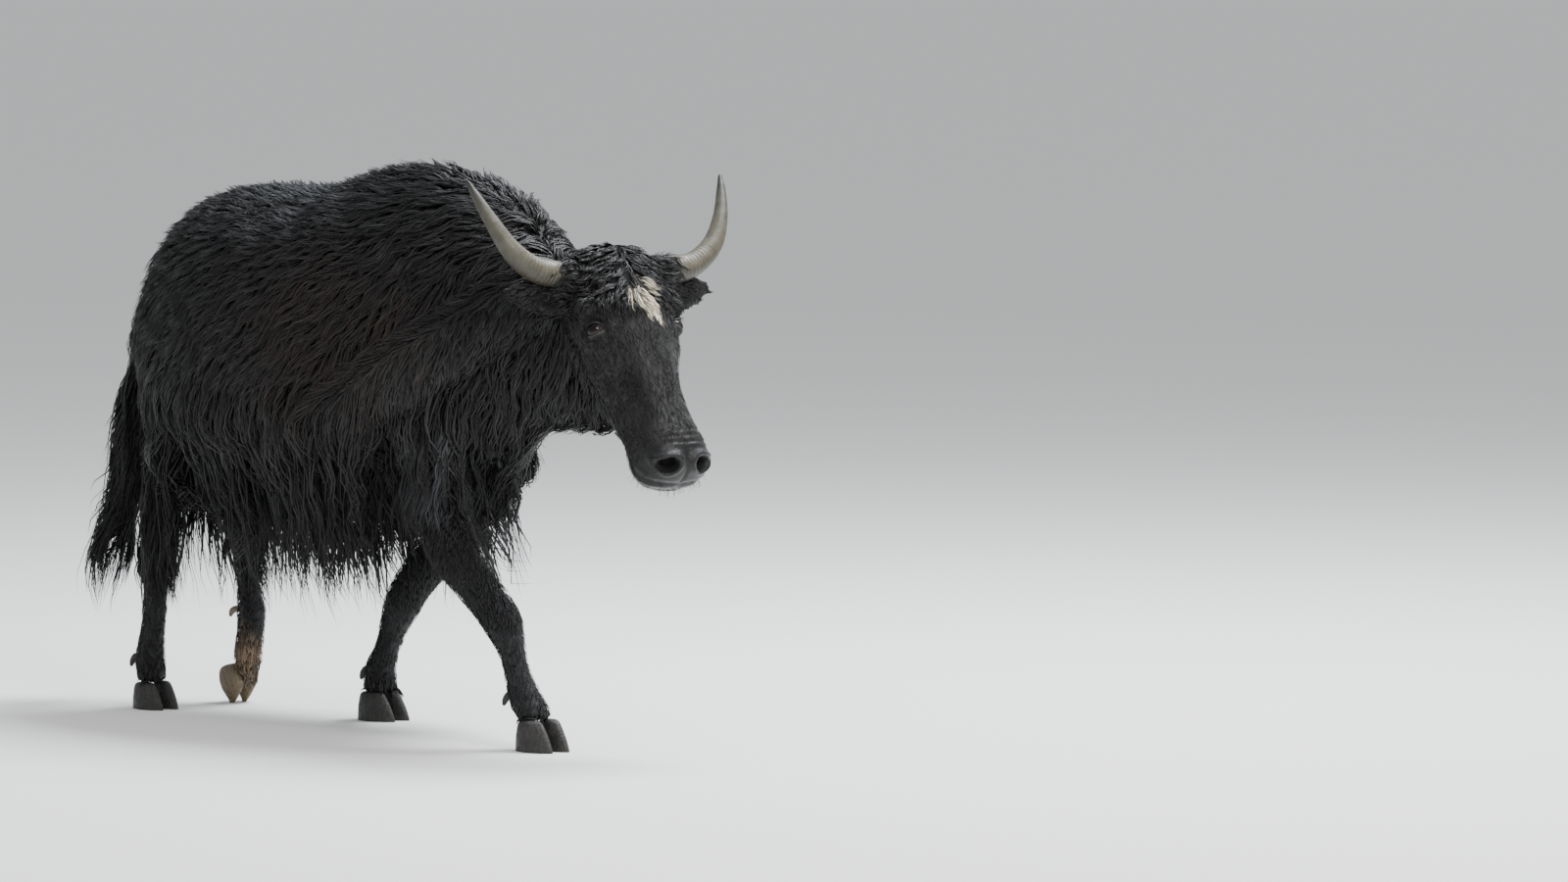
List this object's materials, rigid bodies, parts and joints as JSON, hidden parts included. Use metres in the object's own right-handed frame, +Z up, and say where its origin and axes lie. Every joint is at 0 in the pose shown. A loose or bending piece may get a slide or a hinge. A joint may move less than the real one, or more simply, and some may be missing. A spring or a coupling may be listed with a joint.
{
  "type": "yak",
  "caption": "Long-haired yak cow at a slow walk, head a little lowered and turned to its right, with curved horns, a hanging skirt of hair and a bushy tail.",
  "frame": {"origin": "middle of the bounding box on the floor that the hooves stand on", "axes": "+X towards the head, +Y to the animal's left, +Z up"},
  "size_m": [1.9254, 0.6364, 1.2082],
  "materials": {
    "coat": "long shaggy hair, satin",
    "muzzle": "moist bare skin, semi-gloss",
    "horn": "worn keratin, satin",
    "hoof": "worn keratin, dull",
    "pale_hoof": "worn keratin, dull",
    "eye": "wet gloss"
  },
  "bodies": {
    "root": {"eye_right": "eye", "horn_right": "horn", "ear_right": "coat", "eye_left": "eye", "horn_left": "horn", "ear_left": "coat", "head": "coat", "muzzle": "muzzle", "trunk": "coat", "neck": "coat", "tail_dock": "coat", "tail_switch": "coat", "foreleg_right_claw_inner": "hoof", "foreleg_right_claw_outer": "hoof", "foreleg_right_dewclaw_inner": "hoof", "foreleg_right_dewclaw_outer": "hoof", "foreleg_right_upper": "coat", "foreleg_right_lower": "coat", "foreleg_left_claw_inner": "hoof", "foreleg_left_claw_outer": "hoof", "foreleg_left_dewclaw_inner": "hoof", "foreleg_left_dewclaw_outer": "hoof", "foreleg_left_upper": "coat", "foreleg_left_lower": "coat", "hindleg_right_claw_inner": "hoof", "hindleg_right_claw_outer": "hoof", "hindleg_right_dewclaw_inner": "hoof", "hindleg_right_dewclaw_outer": "hoof", "hindleg_right_upper": "coat", "hindleg_right_lower": "coat", "hindleg_left_claw_inner": "pale_hoof", "hindleg_left_claw_outer": "pale_hoof", "hindleg_left_dewclaw_inner": "pale_hoof", "hindleg_left_dewclaw_outer": "pale_hoof", "hindleg_left_upper": "coat", "hindleg_left_lower": "coat", "brisket_hair": "coat", "fringe_right": "coat", "fringe_left": "coat"}
  },
  "joints": []
}
